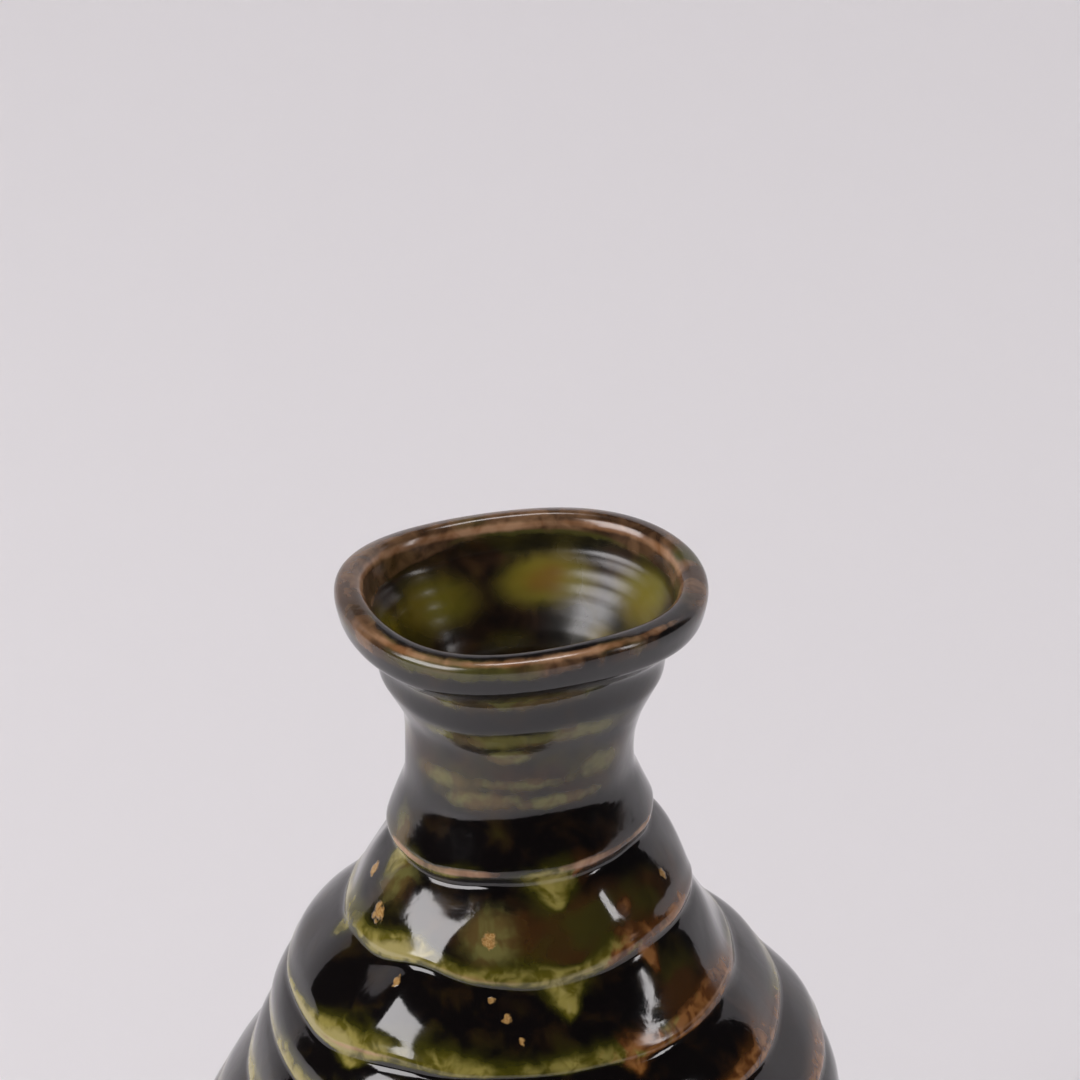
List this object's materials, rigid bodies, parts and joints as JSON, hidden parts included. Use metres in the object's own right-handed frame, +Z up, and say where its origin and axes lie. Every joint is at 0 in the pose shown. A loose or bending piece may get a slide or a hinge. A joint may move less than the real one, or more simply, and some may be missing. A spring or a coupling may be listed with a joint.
{
  "type": "sake bottle",
  "caption": "Hand-thrown stoneware sake bottle with a ringed belly, narrow neck, rolled pouring lip, dark glaze and bare clay foot.",
  "frame": {"origin": "middle of the foot, on the surface that the bottle stands on", "axes": "+Z up along the bottle's axis through the mouth, -Y towards the pouring side of the lip, +X to the right seen from there"},
  "size_m": [0.0816, 0.0819, 0.1431],
  "materials": {
    "clay": "unglazed, fired stoneware",
    "glaze": "glossy dark brown iron glaze that breaks to olive and rust on the ridges"
  },
  "bodies": {
    "root": {"foot_ring": "clay", "body": "clay", "neck": "clay", "lip_roll": "clay", "outer_glaze": "glaze", "inner_glaze": "glaze"}
  },
  "joints": []
}
